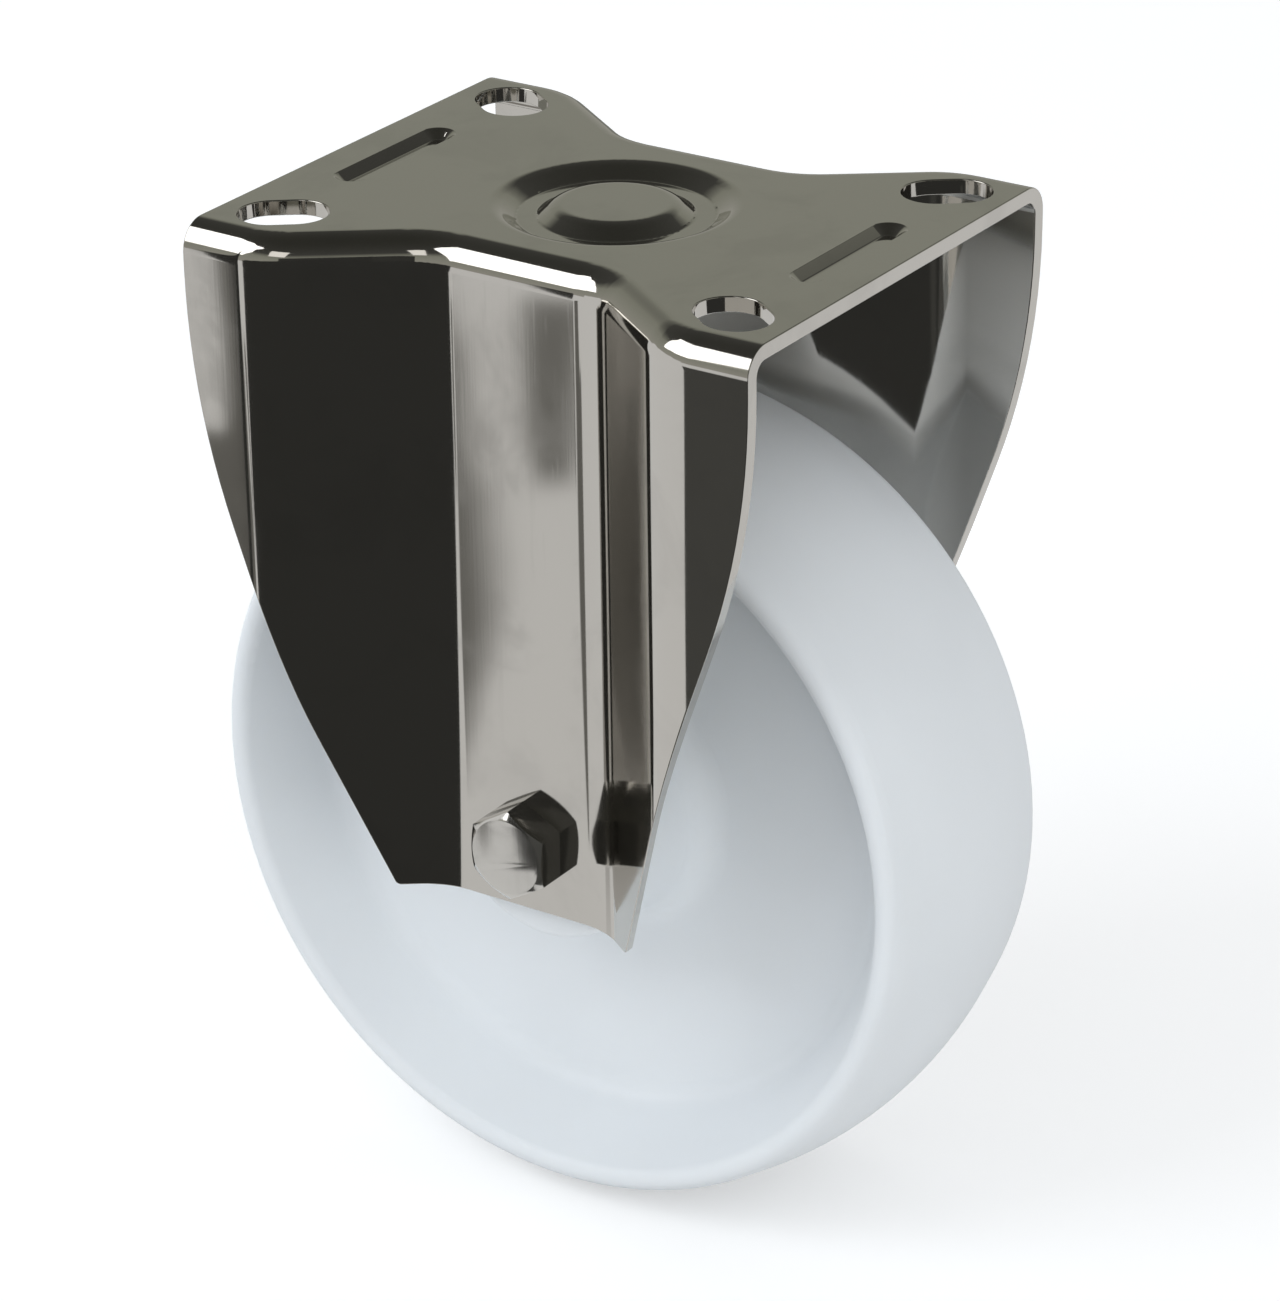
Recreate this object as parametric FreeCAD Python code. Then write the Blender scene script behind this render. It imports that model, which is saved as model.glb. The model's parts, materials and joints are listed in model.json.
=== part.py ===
"""Fixed castor: pressed stainless bracket, polyamide wheel on a roller bearing, bolted axle.

Millimetres, +Z up. The origin is the centre of the plate's top face, which is the
mounting face. X is the rolling direction and Y is the axle direction.
"""
import FreeCAD, Part
import math
import os

V = FreeCAD.Vector
AXLE_DIRECTION = V(0, 1, 0)
UP = V(0, 0, 1)

# Bracket: one sheet, pressed to a waisted top plate with a leg folded down on each long side
SHEET = 2.5
PLATE_LENGTH = 100.0
PLATE_WIDTH = 84.0
WAIST_WIDTH = 55.5
WAIST_HALF_LENGTH = 15.0
CORNER_FLAT = 15.0
PLAN_FOLD_RADIUS = 13.5
TOP_BEND_RADIUS = 2.2
AXLE_DROP = 96.5
LEG_BELOW_AXLE = 11.0
LEG_TIP_WIDTH = 43.0
LEG_SIDE_SLOPE = 0.36
LEG_SIDE_RADIUS = 120.0
LEG_TIP_CORNER_RADIUS = 1.0

# Mounting slots in the plate, each along the diagonal through its centre
SLOT_SPACING_X = 80.0
SLOT_SPACING_Y = 60.0
SLOT_LENGTH = 14.0
SLOT_WIDTH = 10.5

# Stiffening forms pressed into the plate
RING_DEPTH = 2.0
RING_DISC_RADIUS = 9.3
RING_FLOOR_INNER_RADIUS = 12.0
RING_FLOOR_OUTER_RADIUS = 15.2
RING_OUTER_RADIUS = 18.3
PRESSING_RADIUS = 1.2
BEAD_OFFSET_X = 41.0
BEAD_LENGTH = 28.0
BEAD_WIDTH = 5.6
BEAD_DEPTH = 1.4
BEAD_WALL_RUN = 1.6

# Wheel
WHEEL_RADIUS = 66.0
WHEEL_WIDTH = 43.5
CROWN_RADIUS = 58.0
CROWN_SLOPE = 0.25
SHOULDER_DEGREES = 30.0
SHOULDER_RADIUS = 5.0
RIM_CREST_DROP = 5.5
RIM_EDGE_RADIUS = 2.1
RECESS_WALL_DEGREES = 27.0
RECESS_FOOT_FILLET = 4.0
WEB_RIM_THICKNESS = 15.0
WEB_HUB_THICKNESS = 12.5
HUB_RADIUS = 17.8
HUB_FOOT_FLARE = 1.5
HUB_FOOT_FILLET = 5.0
HUB_EDGE_RADIUS = 1.0
HUB_SIDE_CLEARANCE = 2.0

# Axle and bearing
BOLT_RADIUS = 4.0
BOLT_HOLE_CLEARANCE = 0.25
HEX_ACROSS_FLATS = 13.0
HEAD_HEIGHT = 5.3
HEX_CHAMFER_DEGREES = 30.0
HEX_FACE_SHARE = 0.95
BOLT_LENGTH = 65.0
BOLT_END_CHAMFER = 0.8
NUT_HEIGHT = 8.0
NUT_HEX_HEIGHT = 5.8
NUT_COLLAR_RADIUS = 5.9
NUT_COLLAR_WALL = 0.5
INSERT_THICKNESS = 1.6
THREAD_CLEARANCE = 0.05
TUBE_RADIUS = 7.5
TUBE_BORE_CLEARANCE = 0.2
ROLLER_COUNT = 12
ROLLER_RADIUS = 1.5
ROLLER_LENGTH = 36.0
ROLLER_END_CHAMFER = 0.2
RACE_CLEARANCE = 0.025
CAGE_CLEARANCE = 0.3
POCKET_CLEARANCE = 0.15
CAGE_END_WIDTH = 2.0
CAP_RADIUS = 13.5
CAP_THICKNESS = 1.5
CAP_RIM_HEIGHT = 3.0
CAP_RIM_WALL = 1.2
CAP_EDGE_RADIUS = 0.5
CAP_SEAT_CLEARANCE = 0.02
CAP_BORE_CLEARANCE = 0.4

# Length by which cutting and joining shapes run past what they meet
MARGIN = 10.0
TOUCHING = 1e-3

# Places and sizes that follow from the driving dimensions
HALF_WAIST = WAIST_WIDTH / 2
INNER_HALF_WAIST = HALF_WAIST - SHEET
AXLE_Z = -AXLE_DROP
AXLE_CENTRE = V(0, 0, AXLE_Z)
LEG_BOTTOM_Z = AXLE_Z - LEG_BELOW_AXLE
HUB_HALF_LENGTH = INNER_HALF_WAIST - HUB_SIDE_CLEARANCE
RACE_RADIUS = TUBE_RADIUS + 2 * ROLLER_RADIUS + 2 * RACE_CLEARANCE
PITCH_RADIUS = TUBE_RADIUS + ROLLER_RADIUS + RACE_CLEARANCE
CAGE_HALF_LENGTH = ROLLER_LENGTH / 2 + POCKET_CLEARANCE + CAGE_END_WIDTH
BOLT_BORE_RADIUS = BOLT_RADIUS + BOLT_HOLE_CLEARANCE


def save(shape, name):
    """Write one sub-part as a STEP file named after its node."""
    shape.exportStep(f"parts/{name}.step")


def unit(vector):
    """The vector at length one."""
    length = vector.Length
    return V(vector.x / length, vector.y / length, vector.z / length)


def corner(before, point, after, radius):
    """Start, middle and end of the arc that rounds a corner of an outline."""
    back = unit(before - point)
    ahead = unit(after - point)
    half_angle = back.getAngle(ahead) / 2
    cut = radius / math.tan(half_angle)
    bisector = unit(back + ahead)
    centre = point + bisector * (radius / math.sin(half_angle))
    return point + back * cut, centre - bisector * radius, point + ahead * cut


def rounded_face(corners):
    """Flat face inside a closed outline of (point, corner radius) pairs."""
    count = len(corners)
    edges = []
    rounds = []
    for index, (point, radius) in enumerate(corners):
        if radius > 0:
            rounds.append(corner(corners[index - 1][0], point, corners[(index + 1) % count][0], radius))
        else:
            rounds.append((point, None, point))
    for index, (start, middle, end) in enumerate(rounds):
        if middle is not None:
            edges.append(Part.Arc(start, middle, end).toShape())
        next_start = rounds[(index + 1) % count][0]
        if (next_start - end).Length > TOUCHING:
            edges.append(Part.LineSegment(end, next_start).toShape())
    return Part.Face(Part.Wire(Part.__sortEdges__(edges)))


def revolved(profile):
    """Turn a closed (along the axle, radius, corner radius) profile about the axle."""
    corners = [(V(0, along, AXLE_Z + radius), rounding) for along, radius, rounding in profile]
    return rounded_face(corners).revolve(AXLE_CENTRE, AXLE_DIRECTION, 360)


def cylinder(radius, start, end):
    """Cylinder about the axle between two places along it."""
    return Part.makeCylinder(radius, end - start, V(0, start, AXLE_Z), AXLE_DIRECTION)


def ring(inner, outer, start, end):
    """Plain ring about the axle."""
    return cylinder(outer, start, end).cut(cylinder(inner, start - MARGIN, end + MARGIN))


def hexagon(across_flats, start, end):
    """Hexagonal prism about the axle, with one corner straight up."""
    circumradius = across_flats / math.sqrt(3)
    points = []
    for index in range(6):
        angle = math.radians(60 * index + 90)
        points.append(V(circumradius * math.cos(angle), start, AXLE_Z + circumradius * math.sin(angle)))
    face = Part.Face(Part.makePolygon(points + points[:1]))
    return face.extrude(V(0, end - start, 0))


def hex_chamfer(across_flats, outer_face, inward):
    """Cone that takes the corners off the outer face of a hexagon; inward is +1 or -1 along Y."""
    flat_radius = across_flats / 2 * HEX_FACE_SHARE
    reach = across_flats
    drop = reach * math.tan(math.radians(HEX_CHAMFER_DEGREES))
    profile = [(outer_face, 0, 0),
               (outer_face, flat_radius, 0),
               (outer_face + inward * drop, flat_radius + reach, 0),
               (outer_face + inward * drop, 0, 0)]
    return revolved(profile)


def plan_corners(inset, reach):
    """Corners of one long side of the plate in plan, from -X to +X, moved inward by the inset.

    The side runs parallel to X at each corner of the plate and slants in to the waist.
    """
    slant_start = PLATE_LENGTH / 2 - CORNER_FLAT
    outer_y = PLATE_WIDTH / 2
    waist_y = HALF_WAIST
    slant = math.atan2(outer_y - waist_y, slant_start - WAIST_HALF_LENGTH)
    shift = inset * math.tan(slant / 2)
    outward_radius = PLAN_FOLD_RADIUS + SHEET - inset
    inward_radius = PLAN_FOLD_RADIUS + inset
    right = [(V(WAIST_HALF_LENGTH - shift, waist_y - inset, 0), inward_radius),
             (V(slant_start - shift, outer_y - inset, 0), outward_radius),
             (V(reach, outer_y - inset, 0), 0)]
    left = [(V(-point.x, point.y, 0), radius) for point, radius in reversed(right)]
    return left + right


def folded_block(inset, reach, top, bottom):
    """Prism of the waisted plan whose top edges along both legs are rounded like the bend."""
    far_side = plan_corners(inset, reach)
    near_side = [(V(-point.x, -point.y, 0), radius) for point, radius in far_side]
    plan = rounded_face(far_side + near_side)
    plan.translate(V(0, 0, bottom))
    block = plan.extrude(V(0, 0, top - bottom))
    bend = TOP_BEND_RADIUS + SHEET - inset
    edges = []
    for edge in block.Edges:
        box = edge.BoundBox
        on_top = box.ZMin > top - TOUCHING
        across_end = box.XLength < TOUCHING
        if on_top and not across_end:
            edges.append(edge)
    return block.makeFillet(bend, edges)


def leg_side_outline():
    """Side view of the bracket: upright ends that sweep in to straight tapering legs."""
    half_length = PLATE_LENGTH / 2
    half_tip = LEG_TIP_WIDTH / 2
    shoulder_z = LEG_BOTTOM_Z + (half_length - half_tip) / LEG_SIDE_SLOPE
    corners = [(half_tip, LEG_BOTTOM_Z, LEG_TIP_CORNER_RADIUS),
               (half_length, shoulder_z, LEG_SIDE_RADIUS),
               (half_length, MARGIN, 0),
               (-half_length, MARGIN, 0),
               (-half_length, shoulder_z, LEG_SIDE_RADIUS),
               (-half_tip, LEG_BOTTOM_Z, LEG_TIP_CORNER_RADIUS)]
    face = rounded_face([(V(x, -PLATE_WIDTH, z), radius) for x, z, radius in corners])
    return face.extrude(V(0, 2 * PLATE_WIDTH, 0))


def ring_pressing(depth_below, top):
    """Round solid between a height and the pressed ring's upper surface moved into the sheet by a depth."""
    inner_slope = math.atan2(RING_DEPTH, RING_FLOOR_INNER_RADIUS - RING_DISC_RADIUS)
    outer_slope = math.atan2(RING_DEPTH, RING_OUTER_RADIUS - RING_FLOOR_OUTER_RADIUS)
    inner_shift = depth_below * math.tan(inner_slope / 2)
    outer_shift = depth_below * math.tan(outer_slope / 2)
    convex = PRESSING_RADIUS + SHEET - depth_below
    concave = PRESSING_RADIUS + depth_below
    disc_radius = RING_DISC_RADIUS - inner_shift
    outer_radius = RING_OUTER_RADIUS + outer_shift
    floor = -RING_DEPTH - depth_below
    corners = [(disc_radius - SHEET, -depth_below, 0),
               (disc_radius, -depth_below, convex),
               (RING_FLOOR_INNER_RADIUS - inner_shift, floor, concave),
               (RING_FLOOR_OUTER_RADIUS + outer_shift, floor, concave),
               (outer_radius, -depth_below, convex),
               (outer_radius + SHEET, -depth_below, 0),
               (outer_radius + SHEET, top, 0),
               (disc_radius - SHEET, top, 0)]
    face = rounded_face([(V(x, 0, z), radius) for x, z, radius in corners])
    return face.revolve(V(0, 0, 0), UP, 360)


def bead_pressing(widening, top, x):
    """Slot-shaped solid parallel to Y with sloping walls, its wide side at a height."""
    half_width = BEAD_WIDTH / 2 + widening
    half_run = (BEAD_LENGTH - BEAD_WIDTH) / 2
    floor = top - BEAD_DEPTH
    half_floor = half_width - BEAD_WALL_RUN
    section = Part.makePolygon([V(x - half_floor, -half_run, floor),
                                V(x + half_floor, -half_run, floor),
                                V(x + half_width, -half_run, top),
                                V(x - half_width, -half_run, top),
                                V(x - half_floor, -half_run, floor)])
    run = Part.Face(section).extrude(V(0, 2 * half_run, 0))
    ends = [Part.makeCone(half_floor, half_width, BEAD_DEPTH, V(x, y, floor)) for y in (-half_run, half_run)]
    return run.fuse(ends).removeSplitter()


def press_forms(plate):
    """Press the central ring and the two end beads: sunk on top, proud underneath."""
    inside_sheet = -SHEET / 2
    ridges = [ring_pressing(SHEET, inside_sheet)]
    grooves = [ring_pressing(0, MARGIN)]
    for side in (-1, 1):
        x = side * BEAD_OFFSET_X
        ridges.append(bead_pressing(BEAD_DEPTH, -SHEET, x))
        grooves.append(bead_pressing(0, 0, x))
    return plate.fuse(ridges).cut(grooves)


def mounting_slots():
    """The four slots of the plate, each pointing at the plate's centre."""
    half_run = (SLOT_LENGTH - SLOT_WIDTH) / 2
    radius = SLOT_WIDTH / 2
    height = SHEET + 2 * MARGIN
    slots = []
    for side_x in (-1, 1):
        for side_y in (-1, 1):
            place = V(side_x * SLOT_SPACING_X / 2, side_y * SLOT_SPACING_Y / 2, -SHEET - MARGIN)
            ends = [Part.makeCylinder(radius, height, V(end * half_run, 0, 0)) for end in (-1, 1)]
            slot = Part.makeBox(2 * half_run, SLOT_WIDTH, height, V(-half_run, -radius, 0)).fuse(ends)
            slot.rotate(V(0, 0, 0), UP, math.degrees(math.atan2(place.y, place.x)))
            slot.translate(place)
            slots.append(slot)
    return slots


def bracket():
    """The pressed bracket, one folded sheet."""
    reach = PLATE_LENGTH / 2 + MARGIN
    bottom = LEG_BOTTOM_Z - MARGIN
    outside = folded_block(0, reach, 0, bottom)
    inside = folded_block(SHEET, reach + MARGIN, -SHEET, bottom - MARGIN)
    sheet = outside.cut(inside).common(leg_side_outline())
    sheet = press_forms(sheet)
    axle_holes = cylinder(BOLT_BORE_RADIUS, -PLATE_WIDTH, PLATE_WIDTH)
    return sheet.cut(mounting_slots() + [axle_holes]).removeSplitter()


def rim_corners():
    """Corners of the wheel's section from the shoulder over the rim's crest to the recess foot."""
    shoulder_slope = math.radians(SHOULDER_DEGREES)
    wall_slope = math.radians(RECESS_WALL_DEGREES)
    half_angle = (shoulder_slope + wall_slope) / 2
    tilt = (wall_slope - shoulder_slope) / 2
    reach = RIM_EDGE_RADIUS / math.sin(half_angle)
    edge_y = WHEEL_WIDTH / 2 - RIM_EDGE_RADIUS + reach * math.cos(tilt)
    edge_radius = WHEEL_RADIUS - RIM_CREST_DROP + reach * math.sin(tilt)
    apex = crown_apex()
    shoulder_y = ((edge_radius + math.tan(shoulder_slope) * edge_y - apex)
                  / (math.tan(shoulder_slope) - CROWN_SLOPE))
    foot_y = WEB_RIM_THICKNESS / 2
    foot_radius = edge_radius - math.tan(wall_slope) * (edge_y - foot_y)
    return [(shoulder_y, apex - CROWN_SLOPE * shoulder_y, SHOULDER_RADIUS),
            (edge_y, edge_radius, RIM_EDGE_RADIUS),
            (foot_y, foot_radius, RECESS_FOOT_FILLET)]


def crown_apex():
    """Radius at which the two sloping halves of the tread would meet if the crown weren't rounded."""
    return WHEEL_RADIUS + CROWN_RADIUS * (math.sqrt(1 + CROWN_SLOPE ** 2) - 1)


def wheel():
    """Moulded wheel: crowned tread, round shoulders, a funnel-shaped recess on each side and a hub."""
    cap_seat = CAP_RADIUS + CAP_SEAT_CLEARANCE
    cap_depth = HUB_HALF_LENGTH - CAP_RIM_HEIGHT
    side = rim_corners() + [(WEB_HUB_THICKNESS / 2, HUB_RADIUS + HUB_FOOT_FLARE, HUB_FOOT_FILLET),
                            (HUB_HALF_LENGTH, HUB_RADIUS, HUB_EDGE_RADIUS),
                            (HUB_HALF_LENGTH, cap_seat, 0),
                            (cap_depth, cap_seat, 0),
                            (cap_depth, RACE_RADIUS, 0)]
    far = [(-along, radius, rounding) for along, radius, rounding in reversed(side)]
    return revolved([(0, crown_apex(), CROWN_RADIUS)] + side + far)


def roller_places():
    """Angle and centre of each roller about the axle."""
    places = []
    for index in range(ROLLER_COUNT):
        angle = 360 / ROLLER_COUNT * index
        turn = math.radians(angle)
        centre = V(PITCH_RADIUS * math.sin(turn), 0, AXLE_Z + PITCH_RADIUS * math.cos(turn))
        places.append((angle, centre))
    return places


def roller(centre):
    """One bearing roller with chamfered ends."""
    half = ROLLER_LENGTH / 2
    profile = [(-half, 0, 0),
               (-half, ROLLER_RADIUS - ROLLER_END_CHAMFER, 0),
               (-half + ROLLER_END_CHAMFER, ROLLER_RADIUS, 0),
               (half - ROLLER_END_CHAMFER, ROLLER_RADIUS, 0),
               (half, ROLLER_RADIUS - ROLLER_END_CHAMFER, 0),
               (half, 0, 0)]
    shape = revolved(profile)
    shape.translate(centre - AXLE_CENTRE)
    return shape


def roller_cage():
    """Sleeve with one pocket for each roller."""
    inner = TUBE_RADIUS + CAGE_CLEARANCE
    outer = RACE_RADIUS - CAGE_CLEARANCE
    sleeve = ring(inner, outer, -CAGE_HALF_LENGTH, CAGE_HALF_LENGTH)
    width = 2 * (ROLLER_RADIUS + POCKET_CLEARANCE)
    length = ROLLER_LENGTH + 2 * POCKET_CLEARANCE
    pockets = []
    for angle, _ in roller_places():
        pocket = Part.makeBox(width, length, RACE_RADIUS, V(-width / 2, -length / 2, AXLE_Z))
        pocket.rotate(AXLE_CENTRE, AXLE_DIRECTION, angle)
        pockets.append(pocket)
    return sleeve.cut(pockets)


def hub_cap(side):
    """Cupped thread guard pressed into one end of the hub."""
    outer_face = HUB_HALF_LENGTH
    floor = outer_face - CAP_THICKNESS
    bore = TUBE_RADIUS + CAP_BORE_CLEARANCE
    profile = [(outer_face, bore, 0),
               (outer_face, CAP_RADIUS, CAP_EDGE_RADIUS),
               (outer_face - CAP_RIM_HEIGHT, CAP_RADIUS, 0),
               (outer_face - CAP_RIM_HEIGHT, CAP_RADIUS - CAP_RIM_WALL, 0),
               (floor, CAP_RADIUS - CAP_RIM_WALL, 0),
               (floor, bore, 0)]
    return revolved([(side * along, radius, rounding) for along, radius, rounding in profile])


def axle_tube():
    """Spacer tube clamped between the legs; the rollers run on it."""
    bore = BOLT_RADIUS + TUBE_BORE_CLEARANCE
    return ring(bore, TUBE_RADIUS, -INNER_HALF_WAIST, INNER_HALF_WAIST)


def axle_bolt():
    """Hexagon head bolt, head against the near leg, with a chamfered end."""
    seat = -HALF_WAIST
    head_face = seat - HEAD_HEIGHT
    end = seat + BOLT_LENGTH
    head = hexagon(HEX_ACROSS_FLATS, head_face, seat)
    head = head.common(hex_chamfer(HEX_ACROSS_FLATS, head_face, 1))
    inside_head = seat - HEAD_HEIGHT / 2
    shank = revolved([(inside_head, 0, 0),
                      (inside_head, BOLT_RADIUS, 0),
                      (end - BOLT_END_CHAMFER, BOLT_RADIUS, 0),
                      (end, BOLT_RADIUS - BOLT_END_CHAMFER, 0),
                      (end, 0, 0)])
    return head.fuse(shank).removeSplitter()


def axle_nut():
    """Self-locking nut on the far leg, with a collar that holds the locking insert."""
    seat = HALF_WAIST
    hex_end = seat + NUT_HEX_HEIGHT
    end = seat + NUT_HEIGHT
    body = hexagon(HEX_ACROSS_FLATS, seat, hex_end)
    body = body.common(hex_chamfer(HEX_ACROSS_FLATS, hex_end, -1))
    body = body.common(hex_chamfer(HEX_ACROSS_FLATS, seat, 1))
    lip_bore = BOLT_RADIUS + NUT_COLLAR_WALL
    inside_hex = hex_end - NUT_HEX_HEIGHT / 2
    collar = revolved([(inside_hex, 0, 0),
                       (inside_hex, NUT_COLLAR_RADIUS, 0),
                       (end, NUT_COLLAR_RADIUS, NUT_COLLAR_WALL),
                       (end, 0, 0)])
    groove = cylinder(NUT_COLLAR_RADIUS - NUT_COLLAR_WALL,
                      end - NUT_COLLAR_WALL - INSERT_THICKNESS, end - NUT_COLLAR_WALL)
    bore = cylinder(BOLT_RADIUS + THREAD_CLEARANCE, seat - MARGIN, end + MARGIN)
    mouth = cylinder(lip_bore, end - NUT_COLLAR_WALL, end + MARGIN)
    return body.fuse(collar).removeSplitter().cut([groove, bore, mouth])


def nut_insert():
    """Polymer locking ring held in the nut's collar."""
    end = HALF_WAIST + NUT_HEIGHT - NUT_COLLAR_WALL
    outer = NUT_COLLAR_RADIUS - NUT_COLLAR_WALL - CAP_SEAT_CLEARANCE
    return ring(BOLT_RADIUS + THREAD_CLEARANCE, outer, end - INSERT_THICKNESS, end)


def main():
    """Build and write every sub-part."""
    os.makedirs("parts", exist_ok=True)
    save(bracket(), "bracket")
    save(wheel(), "wheel")
    save(roller_cage(), "roller_cage")
    for index, (_, centre) in enumerate(roller_places(), start=1):
        save(roller(centre), f"roller_{index:02d}")
    save(hub_cap(-1), "hub_cap_front")
    save(hub_cap(1), "hub_cap_rear")
    save(axle_tube(), "axle_tube")
    save(axle_bolt(), "axle_bolt")
    save(axle_nut(), "axle_nut")
    save(nut_insert(), "nut_insert")


main()
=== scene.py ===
"""Fixed castor: polished pressed bracket, white nylon wheel on a roller bearing, bolted axle.

Places are in metres in the model's own frame: the plate's top face is at zero height, the
wheel rolls along X, the axle lies along Y and the bolt head is at -Y.
"""
import json
import math
import bpy
from mathutils import Matrix, Vector


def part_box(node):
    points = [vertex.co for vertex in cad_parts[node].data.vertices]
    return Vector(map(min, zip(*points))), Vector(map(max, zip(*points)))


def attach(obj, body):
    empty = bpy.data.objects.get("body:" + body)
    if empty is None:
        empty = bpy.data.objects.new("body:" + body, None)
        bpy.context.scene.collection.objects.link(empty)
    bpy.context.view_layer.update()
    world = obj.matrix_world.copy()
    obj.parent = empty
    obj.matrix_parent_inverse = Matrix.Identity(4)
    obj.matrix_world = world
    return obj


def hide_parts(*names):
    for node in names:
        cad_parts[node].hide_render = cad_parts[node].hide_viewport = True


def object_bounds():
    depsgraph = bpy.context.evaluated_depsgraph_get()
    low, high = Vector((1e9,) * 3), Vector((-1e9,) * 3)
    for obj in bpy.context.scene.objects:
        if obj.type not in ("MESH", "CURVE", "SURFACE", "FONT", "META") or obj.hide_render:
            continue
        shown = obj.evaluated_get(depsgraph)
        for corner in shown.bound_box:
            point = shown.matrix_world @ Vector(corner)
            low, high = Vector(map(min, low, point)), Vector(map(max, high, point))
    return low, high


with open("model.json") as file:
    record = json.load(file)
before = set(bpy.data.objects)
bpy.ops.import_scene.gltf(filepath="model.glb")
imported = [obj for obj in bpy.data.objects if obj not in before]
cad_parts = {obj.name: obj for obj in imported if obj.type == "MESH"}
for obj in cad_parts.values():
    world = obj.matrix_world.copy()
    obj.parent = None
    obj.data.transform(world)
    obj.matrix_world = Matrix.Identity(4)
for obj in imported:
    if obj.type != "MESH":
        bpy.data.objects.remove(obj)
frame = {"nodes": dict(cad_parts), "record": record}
cad_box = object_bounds()

MM = 0.001
FLOOR_Z = cad_box[0].z
FLOOR_GAP = 0.2 * MM

# Camera of the photograph: azimuth and elevation are in degrees
CAMERA_AZIMUTH = 33.78
CAMERA_ELEVATION = 24.94
CAMERA_ROLL = math.radians(-0.75)
CAMERA_DISTANCE = 799.8 * MM
CAMERA_TARGET = Vector((2.0, 1.86, -74.71)) * MM
FOCAL_PIXELS = 5106.2
IMAGE_HEIGHT = 1301
SENSOR = 36.0

# Sizes of the pieces modelled here
SHEET_EDGE_ROUND = 0.2 * MM
NUT_EDGE_ROUND = 0.12 * MM
SHARP_EDGE_ANGLE = math.radians(40)
MERGE_DISTANCE = 0.001 * MM
FLAT_FACE_ANGLE = math.radians(0.3)
ROUND_SIDES = 96
QUARTER_TURN = math.radians(90)
BOLT_RADIUS = 4 * MM
HEAD_SIDES = 6
HEAD_CHAMFER = math.radians(30)
HEAD_FACE_SHARE = 0.95
HEAD_EDGE_ROUND = 0.15 * MM
HEAD_EDGE_ANGLE = math.radians(20)
HEAD_OVERLAP = 1 * MM
BAR_END_CHAMFER = 0.5 * MM
BAR_END_ANGLE = math.radians(60)
BOLT_SMOOTH_ANGLE = math.radians(28)
THREAD_PITCH = 1.25 * MM
THREAD_DEPTH = 0.65 * MM
THREAD_LENGTH = 22 * MM
THREAD_STEPS = 48
RIDGE_SHARE = 0.86
SHARP_CREST_SHARE = 1.15

# Colours, linear
STAINLESS = (0.62, 0.60, 0.56)
BOLT_STAINLESS = (0.66, 0.645, 0.61)
GROUND_STEEL = (0.60, 0.60, 0.59)
WHITE_NYLON = (0.79, 0.82, 0.845)
NATURAL_NYLON = (0.80, 0.77, 0.68)
INSERT_NYLON = (0.74, 0.77, 0.80)
DUST_ON_METAL = (0.55, 0.53, 0.49)
DUST_ON_PLASTIC = (0.60, 0.58, 0.54)
FLOOR_COLOUR = (0.80, 0.80, 0.80)
PLAIN_LIGHT = (0.96, 0.98, 1.0)
HANDLED_TONE = 0.93
WORN_TONE = 1.12
WORN_ROUGHNESS = 0.12

# The floor and the cloth on it as polished metal mirrors them
MIRRORED_FLOOR = 0.72
FLOOR_TONE = (MIRRORED_FLOOR,) * 3
CLOTH_COLOUR = (0.034, 0.034, 0.032)
CLOTH_PIVOT_Y = 40 * MM
CLOTH_LIGHT_TURN = math.radians(-31)
CLOTH_DARK_TURN = math.radians(-14)

# What polished metal mirrors, by height from 0 at straight down to 1 at straight up
MIRRORED_ROOM = [
    (0.00, (0.36, 0.355, 0.32)),
    (0.50, (0.36, 0.355, 0.32)),
    (0.66, (0.30, 0.305, 0.265)),
    (0.72, (0.27, 0.275, 0.235)),
    (0.80, (0.06, 0.06, 0.055)),
    (1.00, (0.035, 0.035, 0.03)),
]

# Lamps, as name, place, size, power and colour
LAMPS = [
    ("key_lamp", (-0.7, -1.2, 1.1), 1.0, 8.5, (0.92, 0.96, 1.0)),
    ("side_lamp", (1.4, -1.0, 0.3), 1.0, 6.5, (1.0, 1.0, 0.98)),
    ("left_lamp", (-1.5, 0.1, 0.1), 0.8, 5, (0.92, 0.96, 1.0)),
]


def direction(azimuth, elevation):
    """Unit vector at degrees round from -Y towards +X, and degrees up."""
    turn = math.radians(azimuth)
    rise = math.radians(elevation)
    level = math.cos(rise)
    return Vector((math.sin(turn) * level, -math.cos(turn) * level, math.sin(rise)))


def scaled(colour, share):
    """The colour made lighter or darker by one factor."""
    return tuple(channel * share for channel in colour)


def add_camera():
    """Camera at the photograph's place."""
    back = direction(CAMERA_AZIMUTH, CAMERA_ELEVATION)
    data = bpy.data.cameras.new("camera")
    data.sensor_width = SENSOR
    data.lens = FOCAL_PIXELS / IMAGE_HEIGHT * SENSOR
    camera = bpy.data.objects.new("camera", data)
    bpy.context.scene.collection.objects.link(camera)
    facing = back.to_track_quat("Z", "Y").to_matrix().to_4x4()
    place = Matrix.Translation(CAMERA_TARGET + back * CAMERA_DISTANCE)
    camera.matrix_world = place @ facing @ Matrix.Rotation(CAMERA_ROLL, 4, "Z")
    bpy.context.scene.camera = camera


# Shader helpers

def add_node(tree, kind, settings=None, **values):
    """Add a shader node, set its options, and its inputs by name with _ for a space."""
    made = tree.nodes.new(kind)
    for key, value in (settings or {}).items():
        setattr(made, key, value)
    for key, value in values.items():
        made.inputs[key.replace("_", " ")].default_value = value
    return made


def join(tree, source, target):
    """Link an output socket to an input socket."""
    tree.links.new(source, target)


def calculate(tree, operation, first, second):
    """Maths node between two values, each a socket or a number."""
    made = add_node(tree, "ShaderNodeMath", {"operation": operation})
    for slot, value in enumerate((first, second)):
        if isinstance(value, (int, float)):
            made.inputs[slot].default_value = value
        else:
            join(tree, value, made.inputs[slot])
    return made.outputs["Value"]


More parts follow.
